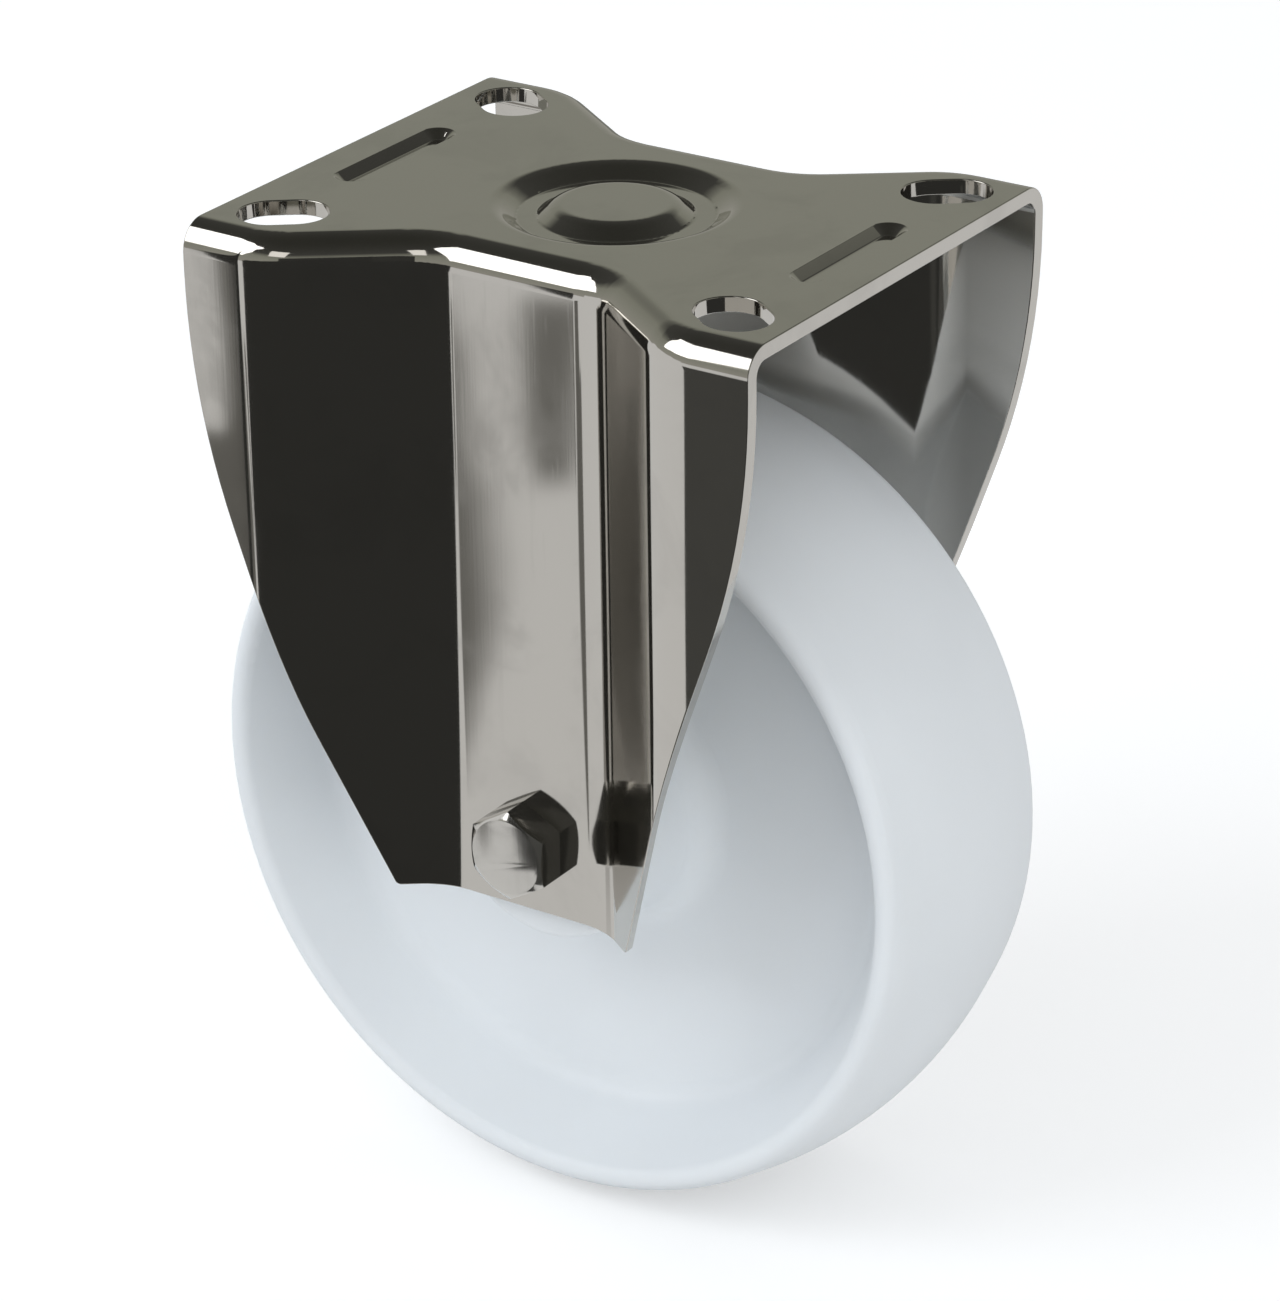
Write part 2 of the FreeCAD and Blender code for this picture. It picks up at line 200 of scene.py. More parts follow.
def blend_colour(tree, factor, first, second):
    """Colour between two, each a socket or an RGB triple."""
    made = add_node(tree, "ShaderNodeMix", {"data_type": "RGBA"})
    join(tree, factor, made.inputs["Factor"])
    for socket, value in ((made.inputs[6], first), (made.inputs[7], second)):
        if isinstance(value, tuple):
            socket.default_value = (*value, 1)
        else:
            join(tree, value, socket)
    return made.outputs[2]


def stretch(tree, vector, scale):
    """The coordinates scaled along each axis, in periods per metre."""
    made = add_node(tree, "ShaderNodeMapping")
    made.inputs["Scale"].default_value = scale
    join(tree, vector, made.inputs["Vector"])
    return made.outputs["Vector"]


def ramp_between(tree, value, low, high):
    """Mask that rises smoothly from 0 at one value to 1 at another."""
    made = add_node(tree, "ShaderNodeMapRange", {"interpolation_type": "SMOOTHSTEP"},
                    From_Min=low, From_Max=high)
    join(tree, value, made.inputs["Value"])
    return made.outputs["Result"]


def start_group(name, inputs, outputs):
    """New shader group with (name, kind, default) inputs and (name, kind) outputs."""
    group = bpy.data.node_groups.new(name, "ShaderNodeTree")
    for label, kind, default in inputs:
        socket = group.interface.new_socket(name=label, in_out="INPUT", socket_type=kind)
        if default is not None:
            socket.default_value = default
    for label, kind in outputs:
        group.interface.new_socket(name=label, in_out="OUTPUT", socket_type=kind)
    return group, group.nodes.new("NodeGroupInput"), group.nodes.new("NodeGroupOutput")


def build_sheet_unevenness():
    """Slow waves left in sheet by pressing and polishing, with a fine rolling grain."""
    group, given, result = start_group(
        "sheet_unevenness",
        [("Vector", "NodeSocketVector", None), ("Wave Length", "NodeSocketFloat", 0.03),
         ("Wave Depth", "NodeSocketFloat", 0.0001), ("Grain Depth", "NodeSocketFloat", 0.000002)],
        [("Height", "NodeSocketFloat")])
    waves = add_node(group, "ShaderNodeTexNoise", Detail=1.5, Roughness=0.4)
    join(group, given.outputs["Vector"], waves.inputs["Vector"])
    join(group, calculate(group, "DIVIDE", 1.0, given.outputs["Wave Length"]), waves.inputs["Scale"])
    grain = add_node(group, "ShaderNodeTexNoise", Scale=1.0, Detail=3.0)
    join(group, stretch(group, given.outputs["Vector"], (2600, 2600, 60)), grain.inputs["Vector"])
    slow = calculate(group, "MULTIPLY", waves.outputs["Fac"], given.outputs["Wave Depth"])
    fine = calculate(group, "MULTIPLY", grain.outputs["Fac"], given.outputs["Grain Depth"])
    join(group, calculate(group, "ADD", slow, fine), result.inputs["Height"])
    return group


def build_handling_marks():
    """Soft cloudy patches and short fine scratches from handling."""
    group, given, result = start_group(
        "handling_marks",
        [("Vector", "NodeSocketVector", None), ("Patch Size", "NodeSocketFloat", 0.02),
         ("Scratches", "NodeSocketFloat", 0.3)],
        [("Patches", "NodeSocketFloat"), ("Marks", "NodeSocketFloat")])
    cloud = add_node(group, "ShaderNodeTexNoise", Detail=4.0, Roughness=0.6, Distortion=0.4)
    join(group, given.outputs["Vector"], cloud.inputs["Vector"])
    join(group, calculate(group, "DIVIDE", 1.0, given.outputs["Patch Size"]), cloud.inputs["Scale"])
    patches = ramp_between(group, cloud.outputs["Fac"], 0.46, 0.68)
    lines = add_node(group, "ShaderNodeTexNoise", Scale=1.0, Detail=2.0, Distortion=0.6)
    join(group, stretch(group, given.outputs["Vector"], (900, 240, 60)), lines.inputs["Vector"])
    scratches = calculate(group, "MULTIPLY", ramp_between(group, lines.outputs["Fac"], 0.62, 0.70),
                          given.outputs["Scratches"])
    join(group, patches, result.inputs["Patches"])
    join(group, calculate(group, "MAXIMUM", calculate(group, "MULTIPLY", patches, 0.6), scratches),
         result.inputs["Marks"])
    return group


def build_edge_wear():
    """Mask along outer edges, broken up by a fine noise."""
    group, given, result = start_group(
        "edge_wear",
        [("Vector", "NodeSocketVector", None), ("Width", "NodeSocketFloat", 0.0004),
         ("Amount", "NodeSocketFloat", 1.0)],
        [("Mask", "NodeSocketFloat")])
    rounded = add_node(group, "ShaderNodeBevel", {"samples": 4})
    join(group, given.outputs["Width"], rounded.inputs["Radius"])
    surface = add_node(group, "ShaderNodeNewGeometry")
    agreement = add_node(group, "ShaderNodeVectorMath", {"operation": "DOT_PRODUCT"})
    join(group, rounded.outputs["Normal"], agreement.inputs[0])
    join(group, surface.outputs["Normal"], agreement.inputs[1])
    turned = calculate(group, "SUBTRACT", 1.0, agreement.outputs["Value"])
    edge = ramp_between(group, turned, 0.02, 0.22)
    breaks = add_node(group, "ShaderNodeTexNoise", Scale=420.0, Detail=2.0)
    join(group, given.outputs["Vector"], breaks.inputs["Vector"])
    broken = calculate(group, "MULTIPLY", edge, ramp_between(group, breaks.outputs["Fac"], 0.3, 0.6))
    join(group, calculate(group, "MULTIPLY", broken, given.outputs["Amount"]), result.inputs["Mask"])
    return group


def build_settled_dust():
    """Faint dust that settles in patches on faces turned upwards."""
    group, given, result = start_group(
        "settled_dust",
        [("Vector", "NodeSocketVector", None), ("Amount", "NodeSocketFloat", 0.1)],
        [("Mask", "NodeSocketFloat")])
    surface = add_node(group, "ShaderNodeNewGeometry")
    split = add_node(group, "ShaderNodeSeparateXYZ")
    join(group, surface.outputs["Normal"], split.inputs["Vector"])
    upward = ramp_between(group, split.outputs["Z"], 0.3, 1.0)
    cloud = add_node(group, "ShaderNodeTexNoise", Scale=60.0, Detail=6.0, Roughness=0.7)
    join(group, given.outputs["Vector"], cloud.inputs["Vector"])
    patches = calculate(group, "MULTIPLY", upward, ramp_between(group, cloud.outputs["Fac"], 0.4, 0.7))
    join(group, calculate(group, "MULTIPLY", patches, given.outputs["Amount"]), result.inputs["Mask"])
    return group


SHEET_UNEVENNESS = build_sheet_unevenness()
HANDLING_MARKS = build_handling_marks()
EDGE_WEAR = build_edge_wear()
SETTLED_DUST = build_settled_dust()


def use_group(tree, group, vector, **values):
    """Place a shader group, reading the given coordinates."""
    made = tree.nodes.new("ShaderNodeGroup")
    made.node_tree = group
    join(tree, vector, made.inputs["Vector"])
    for key, value in values.items():
        made.inputs[key.replace("_", " ")].default_value = value
    return made


def start_material(name):
    """New node material with its tree, surface shader and object coordinates."""
    material = bpy.data.materials.new(name)
    material.use_nodes = True
    tree = material.node_tree
    coordinates = add_node(tree, "ShaderNodeTexCoord")
    return material, tree, tree.nodes["Principled BSDF"], coordinates.outputs["Object"]


def finish_metal(tree, shader, place, colour, smooth, rough, height, wear_width, dust):
    """Worn and handled metal between a smooth and a rough finish over a height map."""
    marks = use_group(tree, HANDLING_MARKS, place)
    wear = use_group(tree, EDGE_WEAR, place, Width=wear_width)
    settled = use_group(tree, SETTLED_DUST, place, Amount=dust)
    toned = blend_colour(tree, marks.outputs["Patches"], colour, scaled(colour, HANDLED_TONE))
    worn = blend_colour(tree, wear.outputs["Mask"], toned, scaled(colour, WORN_TONE))
    dusty = blend_colour(tree, settled.outputs["Mask"], worn, DUST_ON_METAL)
    join(tree, dusty, shader.inputs["Base Color"])
    spread = calculate(tree, "MULTIPLY", marks.outputs["Marks"], rough - smooth)
    brushed = calculate(tree, "MULTIPLY", wear.outputs["Mask"], WORN_ROUGHNESS)
    roughness = calculate(tree, "ADD", calculate(tree, "ADD", spread, brushed), smooth)
    join(tree, roughness, shader.inputs["Roughness"])
    shader.inputs["Metallic"].default_value = 1.0
    bump = add_node(tree, "ShaderNodeBump", Strength=1.0, Distance=1.0)
    join(tree, height, bump.inputs["Height"])
    join(tree, bump.outputs["Normal"], shader.inputs["Normal"])


def polished_stainless():
    """Bracket: mirror-like pressed stainless sheet with slow waves and a faint grain."""
    material, tree, shader, place = start_material("polished_stainless")
    uneven = use_group(tree, SHEET_UNEVENNESS, place, Wave_Length=0.034, Wave_Depth=0.00007,
                       Grain_Depth=0.0000005)
    finish_metal(tree, shader, place, STAINLESS, smooth=0.06, rough=0.105,
                 height=uneven.outputs["Height"], wear_width=0.5 * MM, dust=0.03)
    return material


def satin_stainless():
    """Bolt and nut: cold-formed stainless with a satin skin."""
    material, tree, shader, place = start_material("satin_stainless")
    uneven = use_group(tree, SHEET_UNEVENNESS, place, Wave_Length=0.006, Wave_Depth=0.00004,
                       Grain_Depth=0.000003)
    finish_metal(tree, shader, place, BOLT_STAINLESS, smooth=0.13, rough=0.22,
                 height=uneven.outputs["Height"], wear_width=0.3 * MM, dust=0.02)
    return material


def ground_steel():
    """Tube and rollers: ground round, so the fine lines run across the axle."""
    material, tree, shader, place = start_material("ground_steel")
    lines = add_node(tree, "ShaderNodeTexNoise", Scale=1.0, Detail=2.0)
    join(tree, stretch(tree, place, (40, 9000, 40)), lines.inputs["Vector"])
    height = calculate(tree, "MULTIPLY", lines.outputs["Fac"], 0.000004)
    finish_metal(tree, shader, place, GROUND_STEEL, smooth=0.16, rough=0.26, height=height,
                 wear_width=0.2 * MM, dust=0.0)
    return material


def pressed_cap_steel():
    """Thread guards: thin pressed steel with turned rings from spinning."""
    material, tree, shader, place = start_material("pressed_cap_steel")
    centred = add_node(tree, "ShaderNodeMapping")
    low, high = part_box("axle_tube")
    centred.inputs["Location"].default_value = (0, 0, -(low.z + high.z) / 2)
    join(tree, place, centred.inputs["Vector"])
    rings = add_node(tree, "ShaderNodeTexWave", {"wave_type": "RINGS", "rings_direction": "Y"},
                     Scale=700.0, Distortion=0.6, Detail=1.0)
    join(tree, centred.outputs["Vector"], rings.inputs["Vector"])
    height = calculate(tree, "MULTIPLY", rings.outputs["Fac"], 0.000006)
    finish_metal(tree, shader, place, GROUND_STEEL, smooth=0.22, rough=0.34, height=height,
                 wear_width=0.3 * MM, dust=0.02)
    return material


def finish_plastic(tree, shader, place, colour, shade_share, roughness, grain, dust):
    """Moulded plastic: slow tone changes, a fine skin and faint dust."""
    shade = scaled(colour, shade_share)
    tone = add_node(tree, "ShaderNodeTexNoise", Scale=28.0, Detail=2.0)
    join(tree, place, tone.inputs["Vector"])
    toned = blend_colour(tree, ramp_between(tree, tone.outputs["Fac"], 0.35, 0.7), colour, shade)
    settled = use_group(tree, SETTLED_DUST, place, Amount=dust)
    dusty = blend_colour(tree, settled.outputs["Mask"], toned, DUST_ON_PLASTIC)
    join(tree, dusty, shader.inputs["Base Color"])
    marks = use_group(tree, HANDLING_MARKS, place, Patch_Size=0.03, Scratches=0.5)
    spread = calculate(tree, "MULTIPLY", marks.outputs["Marks"], 0.10)
    join(tree, calculate(tree, "ADD", spread, roughness), shader.inputs["Roughness"])
    skin = add_node(tree, "ShaderNodeTexNoise", Scale=2400.0, Detail=2.0)
    join(tree, place, skin.inputs["Vector"])
    bump = add_node(tree, "ShaderNodeBump", Strength=1.0, Distance=grain)
    join(tree, skin.outputs["Fac"], bump.inputs["Height"])
    join(tree, bump.outputs["Normal"], shader.inputs["Normal"])


def white_nylon():
    """Wheel: satin white nylon that lets a little light in."""
    material, tree, shader, place = start_material("white_nylon")
    finish_plastic(tree, shader, place, WHITE_NYLON, shade_share=0.975, roughness=0.46,
                   grain=0.006 * MM, dust=0.02)
    shader.inputs["Subsurface Weight"].default_value = 0.25
    shader.inputs["Subsurface Radius"].default_value = (1.0, 0.95, 0.9)
    shader.inputs["Subsurface Scale"].default_value = 2 * MM
    shader.inputs["Specular IOR Level"].default_value = 0.0
    shader.inputs["Coat Weight"].default_value = 0.3
    shader.inputs["Coat Roughness"].default_value = 0.35
    return material


def natural_nylon():
    """Bearing cage: unpigmented nylon."""
    material, tree, shader, place = start_material("natural_nylon")
    finish_plastic(tree, shader, place, NATURAL_NYLON, shade_share=0.94, roughness=0.45,
                   grain=0.01 * MM, dust=0.0)
    return material


def insert_nylon():
    """Locking ring of the nut."""
    material, tree, shader, place = start_material("insert_nylon")
    finish_plastic(tree, shader, place, INSERT_NYLON, shade_share=0.94, roughness=0.42,
                   grain=0.01 * MM, dust=0.0)
    return material


POLISHED_STAINLESS = polished_stainless()
SATIN_STAINLESS = satin_stainless()
GROUND_STEEL_FINISH = ground_steel()
PRESSED_CAP_STEEL = pressed_cap_steel()
WHITE_NYLON_FINISH = white_nylon()
NATURAL_NYLON_FINISH = natural_nylon()
INSERT_NYLON_FINISH = insert_nylon()

FINISH_OF_SLOT = {
    "bracket_steel": POLISHED_STAINLESS,
    "wheel_nylon": WHITE_NYLON_FINISH,
    "cage_plastic": NATURAL_NYLON_FINISH,
    "bearing_steel": GROUND_STEEL_FINISH,
    "cap_steel": PRESSED_CAP_STEEL,
    "bolt_steel": SATIN_STAINLESS,
    "insert_plastic": INSERT_NYLON_FINISH,
}


def dress_nodes():
    """Give each carried-over node the finish of its material slot."""
    for entry in frame["record"]["subparts"]:
        mesh = frame["nodes"][entry["node"]].data
        mesh.materials.clear()
        mesh.materials.append(FINISH_OF_SLOT[entry["material_slot"]])


# Modelling helpers

def deselect_all():
    """Leave nothing selected."""
    bpy.ops.object.select_all(action="DESELECT")


def start_piece(name):
    """Name the object that was just added, and return it."""
    piece = bpy.context.object
    piece.name = name
    piece.data.name = name
    return piece


def apply_modifier(piece, kind, name, **settings):
    """Add a modifier to a piece, set it and apply it."""
    bpy.context.view_layer.objects.active = piece
    modifier = piece.modifiers.new(name, kind)
    for key, value in settings.items():
        setattr(modifier, key, value)
    bpy.ops.object.modifier_apply(modifier=name)


def settle(piece):
    """Move a piece's place, turn and scale into its mesh."""
    deselect_all()
    piece.select_set(True)
    bpy.context.view_layer.objects.active = piece
    bpy.ops.object.transform_apply(location=True, rotation=True, scale=True)


def join_pieces(pieces):
    """Join several objects into the first."""
    deselect_all()
    for piece in pieces:
        piece.select_set(True)
    bpy.context.view_layer.objects.active = pieces[0]
    bpy.ops.object.join()
    return pieces[0]


def dress(piece, finish, body, slot, *replaced):
    """Finish a piece, let it ride on its body, and let it stand for nodes."""
    piece.data.materials.clear()
    piece.data.materials.append(finish)
    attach(piece, body)
    if replaced:
        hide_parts(*replaced)


def add_tumbled_copy(node_name, name, edge_round, finish, slot):
    """Copy of a node, standing for it, with its sharp edges rounded as tumbling leaves them."""
    deselect_all()
    piece = bpy.data.objects.new(name, frame["nodes"][node_name].data.copy())
    bpy.context.scene.collection.objects.link(piece)
    piece.select_set(True)
    bpy.context.view_layer.objects.active = piece
    bpy.ops.object.mode_set(mode="EDIT")
    bpy.ops.mesh.select_all(action="SELECT")
    bpy.ops.mesh.customdata_custom_splitnormals_clear()
    bpy.ops.mesh.remove_doubles(threshold=MERGE_DISTANCE)
    bpy.ops.mesh.dissolve_limited(angle_limit=FLAT_FACE_ANGLE)
    bpy.ops.object.mode_set(mode="OBJECT")
    apply_modifier(piece, "BEVEL", "tumbled_edges", width=edge_round, segments=2,
                   limit_method="ANGLE", angle_limit=SHARP_EDGE_ANGLE, use_clamp_overlap=False)
    bpy.ops.object.shade_smooth()
    apply_modifier(piece, "WEIGHTED_NORMAL", "flat_faces_first")
    dress(piece, finish, "bracket", slot, node_name)


def add_bar(name, radius, start, end, axis_height, sides):
    """Round or many-sided bar along the axle between two places along it."""
    bpy.ops.mesh.primitive_cylinder_add(vertices=sides, radius=radius, depth=end - start,
                                        location=(0, (start + end) / 2, axis_height),
                                        rotation=(QUARTER_TURN, 0, 0))
    piece = start_piece(name)
    settle(piece)
    return piece


def keep_common(piece, cutter):
    """Keep what a piece shares with a cutter, and remove the cutter."""
    apply_modifier(piece, "BOOLEAN", "turned_down", operation="INTERSECT", object=cutter,
                   solver="EXACT")
    bpy.data.objects.remove(cutter)


def bolt_head(outer_face, seat, axis_height, corner_radius):
    """Hexagon head, one corner up, with its outer corners turned off and its edges rounded."""
    head = add_bar("head", corner_radius, outer_face, seat, axis_height, HEAD_SIDES)
    height = seat - outer_face
    face_radius = corner_radius * math.cos(math.pi / HEAD_SIDES) * HEAD_FACE_SHARE
    bpy.ops.mesh.primitive_cone_add(vertices=ROUND_SIDES, depth=height, radius2=face_radius,
                                    radius1=face_radius + height / math.tan(HEAD_CHAMFER),
                                    location=(0, (outer_face + seat) / 2, axis_height),
                                    rotation=(QUARTER_TURN, 0, 0))
    keep_common(head, start_piece("turning"))
    apply_modifier(head, "BEVEL", "soft_edges", width=HEAD_EDGE_ROUND, segments=2,
                   limit_method="ANGLE", angle_limit=HEAD_EDGE_ANGLE)
    return head


def bolt_thread(start, end, axis_height):
    """Rolled thread: a ridge wound round the axle, turned flat at its crest."""
    turns = math.ceil((end - start) / THREAD_PITCH) + 1
    bpy.ops.mesh.primitive_circle_add(vertices=4, radius=1, rotation=(0, QUARTER_TURN, 0))
    thread = start_piece("thread")
    settle(thread)
    bpy.ops.object.mode_set(mode="EDIT")
    bpy.ops.mesh.select_all(action="SELECT")
    ridge = (1, THREAD_PITCH * RIDGE_SHARE / 2, THREAD_DEPTH * SHARP_CREST_SHARE)
    bpy.ops.transform.resize(value=ridge)
    bpy.ops.transform.translate(value=(0, start - THREAD_PITCH, BOLT_RADIUS - THREAD_DEPTH))
    bpy.ops.object.mode_set(mode="OBJECT")
    apply_modifier(thread, "SCREW", "winding", axis="Y", angle=4 * QUARTER_TURN,
                   screw_offset=THREAD_PITCH, iterations=turns, steps=THREAD_STEPS,
                   render_steps=THREAD_STEPS)
    bpy.ops.object.mode_set(mode="EDIT")
    bpy.ops.mesh.select_all(action="SELECT")
    bpy.ops.mesh.remove_doubles(threshold=MERGE_DISTANCE)
    bpy.ops.mesh.fill_holes(sides=4)
    bpy.ops.mesh.select_all(action="SELECT")
    bpy.ops.mesh.normals_make_consistent(inside=False)
    bpy.ops.object.mode_set(mode="OBJECT")
    thread.location = (0, 0, axis_height)
    settle(thread)
    blank = add_bar("blank", BOLT_RADIUS, start, end - THREAD_PITCH / 4, axis_height, ROUND_SIDES)
    keep_common(thread, blank)
    return thread


def add_bolt():
    """Axle bolt with a hexagon head and a real thread on its far end."""
    low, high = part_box("axle_bolt")
    axis_height = (low.z + high.z) / 2
    seat = -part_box("axle_nut")[0].y
    thread_start = high.y - THREAD_LENGTH
    deselect_all()
    head = bolt_head(low.y, seat, axis_height, (high.z - low.z) / 2)
    shank = add_bar("shank", BOLT_RADIUS, seat - HEAD_OVERLAP, thread_start, axis_height,
                    ROUND_SIDES)
    core = add_bar("core", BOLT_RADIUS - THREAD_DEPTH, thread_start - HEAD_OVERLAP, high.y,
                   axis_height, ROUND_SIDES)
    for bar in (shank, core):
        apply_modifier(bar, "BEVEL", "chamfered_ends", width=BAR_END_CHAMFER, segments=1,
                       limit_method="ANGLE", angle_limit=BAR_END_ANGLE)
    thread = bolt_thread(thread_start, high.y, axis_height)
    bolt = join_pieces([head, shank, core, thread])
    bolt.name = "axle_bolt_threaded"
    bpy.ops.object.shade_smooth_by_angle(angle=BOLT_SMOOTH_ANGLE)
    dress(bolt, SATIN_STAINLESS, "bracket", "bolt_steel", "axle_bolt")


def add_floor():
    """Plain pale floor that turns white to the camera and keeps the castor's shadow."""
    deselect_all()
    bpy.ops.mesh.primitive_plane_add(size=8, location=(0, 0, FLOOR_Z - FLOOR_GAP))
    ground = start_piece("floor")
    material = bpy.data.materials.new("pale_floor")
    material.use_nodes = True
    tree = material.node_tree
    tree.nodes.clear()
    out = add_node(tree, "ShaderNodeOutputMaterial")
    path = add_node(tree, "ShaderNodeLightPath")
    matt = add_node(tree, "ShaderNodeBsdfDiffuse")
    matt.inputs["Color"].default_value = (*FLOOR_COLOUR, 1)
    lift = add_node(tree, "ShaderNodeEmission", Strength=0.35)
    lifted = add_node(tree, "ShaderNodeAddShader")
    join(tree, matt.outputs[0], lifted.inputs[0])
    join(tree, lift.outputs[0], lifted.inputs[1])
    mirrored = add_node(tree, "ShaderNodeEmission", Strength=MIRRORED_FLOOR)
    to_camera = add_node(tree, "ShaderNodeMixShader")
    join(tree, path.outputs["Is Camera Ray"], to_camera.inputs[0])
    join(tree, matt.outputs[0], to_camera.inputs[1])
    join(tree, lifted.outputs[0], to_camera.inputs[2])
    to_metal = add_node(tree, "ShaderNodeMixShader")
    join(tree, path.outputs["Is Glossy Ray"], to_metal.inputs[0])
    join(tree, to_camera.outputs[0], to_metal.inputs[1])
    join(tree, mirrored.outputs[0], to_metal.inputs[2])
    join(tree, to_metal.outputs[0], out.inputs["Surface"])
    ground.data.materials.append(material)


def add_room():
    """World: white to the camera, a soft room to metal, and plain light to the rest."""
    room = bpy.data.worlds.new("studio")
    bpy.context.scene.world = room
    room.use_nodes = True
    tree = room.node_tree
    tree.nodes.clear()
    out = add_node(tree, "ShaderNodeOutputWorld")
    path = add_node(tree, "ShaderNodeLightPath")
    coordinates = add_node(tree, "ShaderNodeTexCoord")
    split = add_node(tree, "ShaderNodeSeparateXYZ")
    join(tree, coordinates.outputs["Generated"], split.inputs["Vector"])
    height = add_node(tree, "ShaderNodeMapRange", From_Min=-1.0)
    join(tree, split.outputs["Z"], height.inputs["Value"])
    shades = add_node(tree, "ShaderNodeValToRGB")
    join(tree, height.outputs["Result"], shades.inputs["Fac"])
    stops = shades.color_ramp.elements
    while len(stops) < len(MIRRORED_ROOM):
        stops.new(0.5)
    for stop, (place, colour) in zip(stops, MIRRORED_ROOM):
        stop.position = place
        stop.color = (*colour, 1)
    mirrored = add_node(tree, "ShaderNodeBackground", Strength=1.0)
    join(tree, shades.outputs["Color"], mirrored.inputs["Color"])
    plain = add_node(tree, "ShaderNodeBackground", Strength=0.68)
    plain.inputs["Color"].default_value = (*PLAIN_LIGHT, 1)
    white = add_node(tree, "ShaderNodeBackground", Strength=1.0)
    white.inputs["Color"].default_value = (1, 1, 1, 1)
    to_metal = add_node(tree, "ShaderNodeMixShader")
    join(tree, path.outputs["Is Glossy Ray"], to_metal.inputs[0])
    join(tree, plain.outputs[0], to_metal.inputs[1])
    join(tree, mirrored.outputs[0], to_metal.inputs[2])
    to_camera = add_node(tree, "ShaderNodeMixShader")
    join(tree, path.outputs["Is Camera Ray"], to_camera.inputs[0])
    join(tree, to_metal.outputs[0], to_camera.inputs[1])
    join(tree, white.outputs[0], to_camera.inputs[2])
    join(tree, to_camera.outputs[0], out.inputs["Surface"])


def start_card(name, corners, faces=None):
    """Flat card that only polished metal mirrors, its corners in millimetres.

    Returns its mesh, its shader tree and the emission node that gives its tone.
    """
    mesh = bpy.data.meshes.new(name)
    whole = [list(range(len(corners)))]
    mesh.from_pydata([Vector(corner) * MM for corner in corners], [], faces or whole)
    card = bpy.data.objects.new(name, mesh)
    bpy.context.scene.collection.objects.link(card)
    material = bpy.data.materials.new(name)
    material.use_nodes = True
    tree = material.node_tree
    tree.nodes.clear()
    out = add_node(tree, "ShaderNodeOutputMaterial")
    glow = add_node(tree, "ShaderNodeEmission")
    join(tree, glow.outputs[0], out.inputs["Surface"])
    mesh.materials.append(material)
    card.visible_camera = False
    card.visible_diffuse = False
    card.visible_transmission = False
    card.visible_shadow = False
    return mesh, tree, glow


def add_plain_card(name, corners, colour, strength=1.0):
    """Card of one colour."""
    _, _, glow = start_card(name, corners)
    glow.inputs["Color"].default_value = (*colour, 1)
    glow.inputs["Strength"].default_value = strength


def add_floor_card(name, outline, colour):
    """Plain card lying on the floor, with its outline in millimetres."""
    add_plain_card(name, [(x, y, FLOOR_Z / MM) for x, y in outline], colour)


def add_wall_card(name, azimuth, elevation, width, height, distance, colour, strength=1.0):
    """Plain card facing the castor from a direction, sizes in millimetres."""
    outward = direction(azimuth, elevation)
    side = Vector((math.cos(math.radians(azimuth)), math.sin(math.radians(azimuth)), 0))
    upward = outward.cross(side)
    centre = outward * distance + CAMERA_TARGET / MM
    corners = []
    for across, along in ((-1, -1), (1, -1), (1, 1), (-1, 1)):
        corners.append(centre + side * across * width / 2 + upward * along * height / 2)
    add_plain_card(name, corners, colour, strength)


def add_dark_cloth():
    """Cloth on the floor in front that darkens softly round a turning point."""
    outline = [(-40, -100), (-600, -935), (900, -935), (900, 300), (62, -60)]
    _, tree, glow = start_card("dark_cloth", [(x, y, FLOOR_Z / MM) for x, y in outline])
    place = add_node(tree, "ShaderNodeTexCoord")
    split = add_node(tree, "ShaderNodeSeparateXYZ")
    join(tree, place.outputs["Object"], split.inputs["Vector"])
    ahead = calculate(tree, "SUBTRACT", -CLOTH_PIVOT_Y, split.outputs["Y"])
    turn = calculate(tree, "ARCTAN2", split.outputs["X"], ahead)
    dark = ramp_between(tree, turn, CLOTH_LIGHT_TURN, CLOTH_DARK_TURN)
    join(tree, blend_colour(tree, dark, FLOOR_TONE, CLOTH_COLOUR), glow.inputs["Color"])


def add_soft_card(name, outer, inner, colour, lift, around=FLOOR_TONE):
    """Card over the floor that fades from its inner outline to what lies around, in millimetres."""
    count = len(outer)
    faces = [[i, (i + 1) % count, count + (i + 1) % count, count + i] for i in range(count)]
    faces.append(list(range(count, 2 * count)))
    mesh, tree, glow = start_card(name, [(x, y, FLOOR_Z / MM + lift) for x, y in outer + inner], faces)
    fade = mesh.attributes.new("fade", "FLOAT", "POINT")
    fade.data.foreach_set("value", [1.0] * count + [0.0] * count)
    faded = add_node(tree, "ShaderNodeAttribute", {"attribute_name": "fade"})
    join(tree, blend_colour(tree, faded.outputs["Fac"], colour, around), glow.inputs["Color"])


def add_blade(name, start, azimuth, length):
    """Thin upright screen in line with the reflected view, in millimetres.

    It is dark to its left and pale to its right.
    """
    near = Vector((*start, 0))
    far = near + direction(azimuth, 0) * length
    drop = Vector((0, 0, FLOOR_Z / MM))
    _, tree, glow = start_card(name, [near, far, far + drop, near + drop])
    side = add_node(tree, "ShaderNodeNewGeometry")
    join(tree, blend_colour(tree, side.outputs["Backfacing"], FLOOR_TONE, CLOTH_COLOUR),
         glow.inputs["Color"])


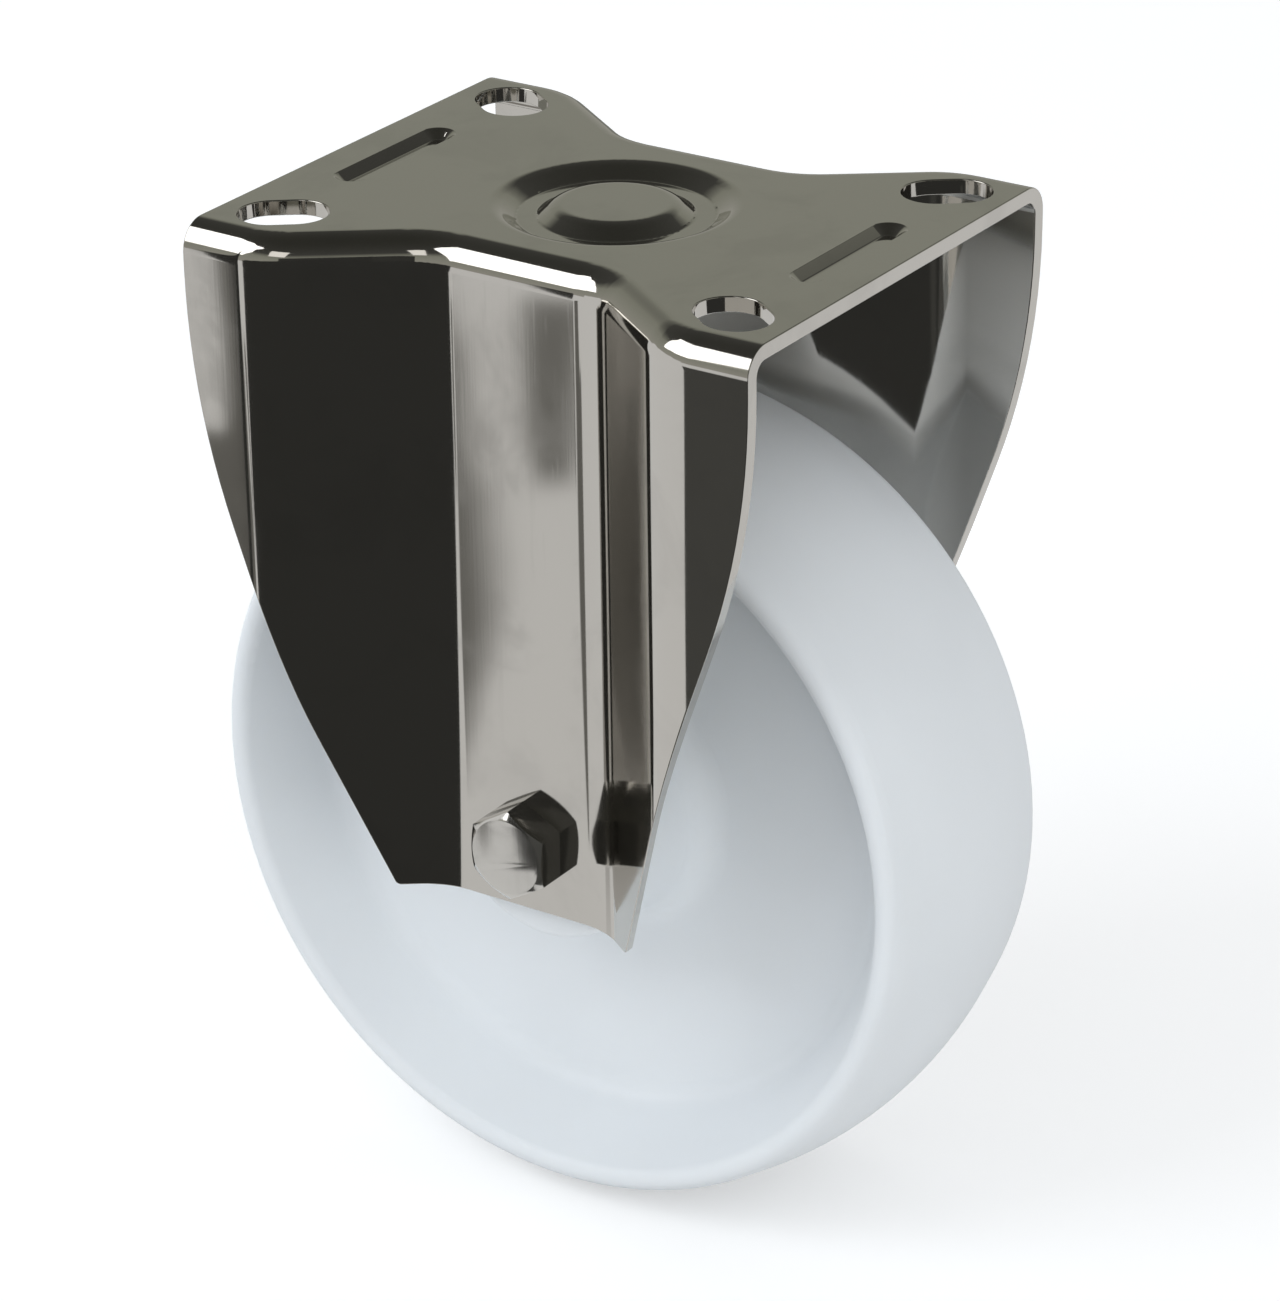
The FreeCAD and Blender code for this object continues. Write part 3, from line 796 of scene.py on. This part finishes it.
def add_cards():
    """The dark and bright cards round the castor that its polish mirrors."""
    add_dark_cloth()
    add_soft_card("fold_shade",
                  [(-290, -405), (-261, -372), (-243, -354), (-218, -323), (-193, -292),
                   (-168, -264), (-151, -242), (-138, -223), (-130, -209), (-115, -181),
                   (-101, -156), (-92, -139), (-84, -125), (-95, -115), (-205, -225),
                   (-300, -250), (-300, -266), (-258, -276), (-243, -290), (-312, -379),
                   (-335, -409)],
                  [(-292, -404), (-262, -371), (-246, -352), (-221, -321), (-198, -289),
                   (-175, -260), (-159, -237), (-145, -218), (-136, -205), (-120, -179),
                   (-104, -154), (-94, -137), (-86, -123), (-97, -119), (-203, -229),
                   (-292, -254), (-290, -268), (-256, -280), (-241, -291), (-310, -380),
                   (-333, -408)],
                  (0.15, 0.147, 0.138), 0.1)
    add_soft_card("web_stripe",
                  [(-236, -363), (-220, -368), (-174, -297), (-158, -272), (-165, -267), (-184, -291)],
                  [(-232, -359), (-219, -363), (-176, -296), (-168, -282), (-172, -279), (-183, -292)],
                  (0.15, 0.148, 0.138), 0.2)
    add_soft_card("side_shade",
                  [(-70, -30), (-70, -104), (-130, -118), (-400, -205), (-400, -50)],
                  [(-150, -50), (-150, -100), (-160, -110), (-290, -145), (-290, -65)],
                  (0.26, 0.25, 0.235), 0.1)
    add_soft_card("cloth_sheen", [(165, -410), (245, -375), (125, -222), (90, -256)],
                  [(188, -392), (216, -378), (114, -240), (106, -248)],
                  (0.058, 0.058, 0.054), 0.1, CLOTH_COLOUR)
    add_blade("left_fold_blade", (-41.2, -44.4), -38.4, 150)
    add_blade("web_fold_blade", (-18.9, -36.9), -36.05, 80)
    add_blade("right_fold_blade", (5.4, -42), -34.2, 300)
    foot = FLOOR_Z / MM
    add_plain_card("near_screen", [(3, -87, foot), (60, -87, foot), (60, -87, -15), (3, -87, -15)],
                   (0.07, 0.07, 0.066))
    add_floor_card("far_cloth",
                   [(-443, 78), (-260, 370), (78, 443), (700, 3900), (-3900, 3900), (-3900, 700)],
                   (0.20, 0.20, 0.175))
    add_wall_card("soft_box", -48, 38, 640, 640, 1000, (1.0, 1.0, 1.0), 2.4)
    add_wall_card("front_box", 8, 40, 300, 300, 1000, (1.0, 0.98, 0.95), 1.1)
    add_wall_card("dark_wall", 40, 10, 1400, 1000, 1500, (0.04, 0.04, 0.037))


def add_lamp(name, place, size, power, colour):
    """Soft square lamp that shines on the wheel and isn't mirrored."""
    data = bpy.data.lights.new(name, "AREA")
    data.size = size
    data.energy = power
    data.color = colour
    lamp = bpy.data.objects.new(name, data)
    bpy.context.scene.collection.objects.link(lamp)
    lamp.location = place
    lamp.rotation_euler = (CAMERA_TARGET - Vector(place)).to_track_quat("-Z", "Y").to_euler()
    lamp.visible_glossy = False


add_camera()
dress_nodes()
add_tumbled_copy("bracket", "bracket_tumbled", SHEET_EDGE_ROUND, POLISHED_STAINLESS, "bracket_steel")
add_tumbled_copy("axle_nut", "axle_nut_tumbled", NUT_EDGE_ROUND, SATIN_STAINLESS, "bolt_steel")
add_bolt()
add_floor()
add_room()
add_cards()
for lamp_values in LAMPS:
    add_lamp(*lamp_values)

bpy.context.scene.view_settings.view_transform = "Standard"
